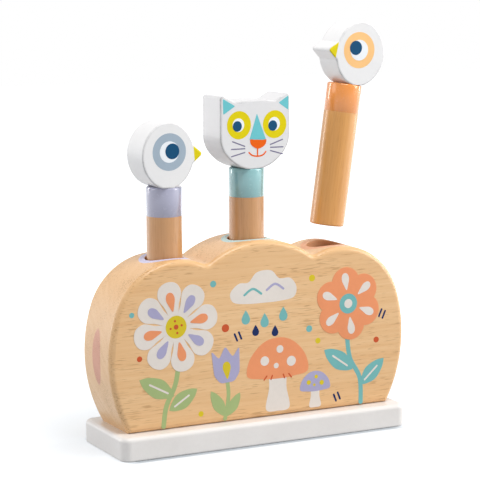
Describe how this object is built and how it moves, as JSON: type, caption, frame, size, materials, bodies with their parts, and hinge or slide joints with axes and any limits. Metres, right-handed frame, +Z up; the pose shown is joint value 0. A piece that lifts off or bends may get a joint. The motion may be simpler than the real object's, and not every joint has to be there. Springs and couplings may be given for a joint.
{
  "type": "pop up animal toy",
  "caption": "Lobed wooden block on a white plinth with three spring-loaded round pegs that carry flat animal heads; pressed down and let go, a peg pops up.",
  "frame": {"origin": "middle of the base plate's underside", "axes": "+X along the block to the right, +Y from the printed front to the back, +Z up"},
  "size_m": [0.2114, 0.064, 0.2658],
  "materials": {
    "white_paint": "satin white lacquer on wood",
    "block_wood": "fine sanded and sealed light wood",
    "dowel_wood": "waxed light wood with a painted band",
    "turned_wood": "plain turned wood",
    "spring_steel": "bright drawn spring wire",
    "screw_steel": "zinc plated"
  },
  "bodies": {
    "root": {"base_plate": "white_paint", "block": "block_wood", "block_screws": "screw_steel", "spring_seat_left": "turned_wood", "seat_screw_left": "screw_steel", "spring_seat_centre": "turned_wood", "seat_screw_centre": "screw_steel", "spring_seat_right": "turned_wood", "seat_screw_right": "screw_steel"},
    "plunger_left": {"plunger_left": "turned_wood", "spring_left": "spring_steel"},
    "peg_left": {"dowel_left": "dowel_wood", "head_pin_left": "turned_wood", "bird_head_left": "white_paint"},
    "plunger_centre": {"plunger_centre": "turned_wood", "spring_centre": "spring_steel"},
    "peg_centre": {"dowel_centre": "dowel_wood", "head_pin_centre": "turned_wood", "cat_head": "white_paint"},
    "plunger_right": {"plunger_right": "turned_wood", "spring_right": "spring_steel"},
    "peg_right": {"dowel_right": "dowel_wood", "head_pin_right": "turned_wood", "bird_head_right": "white_paint"}
  },
  "joints": [
    {"name": "press_left", "type": "slide", "parent": "root", "child": "plunger_left", "axis": [0, 0, 1], "range_m": [-0.028, 0], "stiffness_N_per_m": 220, "springref_m": 0.002, "deforming": ["spring_left"]},
    {"name": "press_centre", "type": "slide", "parent": "root", "child": "plunger_centre", "axis": [0, 0, 1], "range_m": [-0.028, 0], "stiffness_N_per_m": 220, "springref_m": 0.002, "deforming": ["spring_centre"]},
    {"name": "press_right", "type": "slide", "parent": "root", "child": "plunger_right", "axis": [0, 0, 1], "range_m": [-0.028, 0], "stiffness_N_per_m": 220, "springref_m": 0.002, "deforming": ["spring_right"]},
    {"name": "lift_left", "type": "slide", "parent": "plunger_left", "child": "peg_left", "axis": [0, 0, 1], "range_m": [0, 0.062]},
    {"name": "lift_centre", "type": "slide", "parent": "plunger_centre", "child": "peg_centre", "axis": [0, 0, 1], "range_m": [0, 0.062]},
    {"name": "drop_right", "type": "hinge", "parent": "root", "child": "peg_right", "pos_m": [0.4842, 0, 0.0967], "axis": [0, 1, 0], "range_deg": [-8.15, 0]}
  ]
}
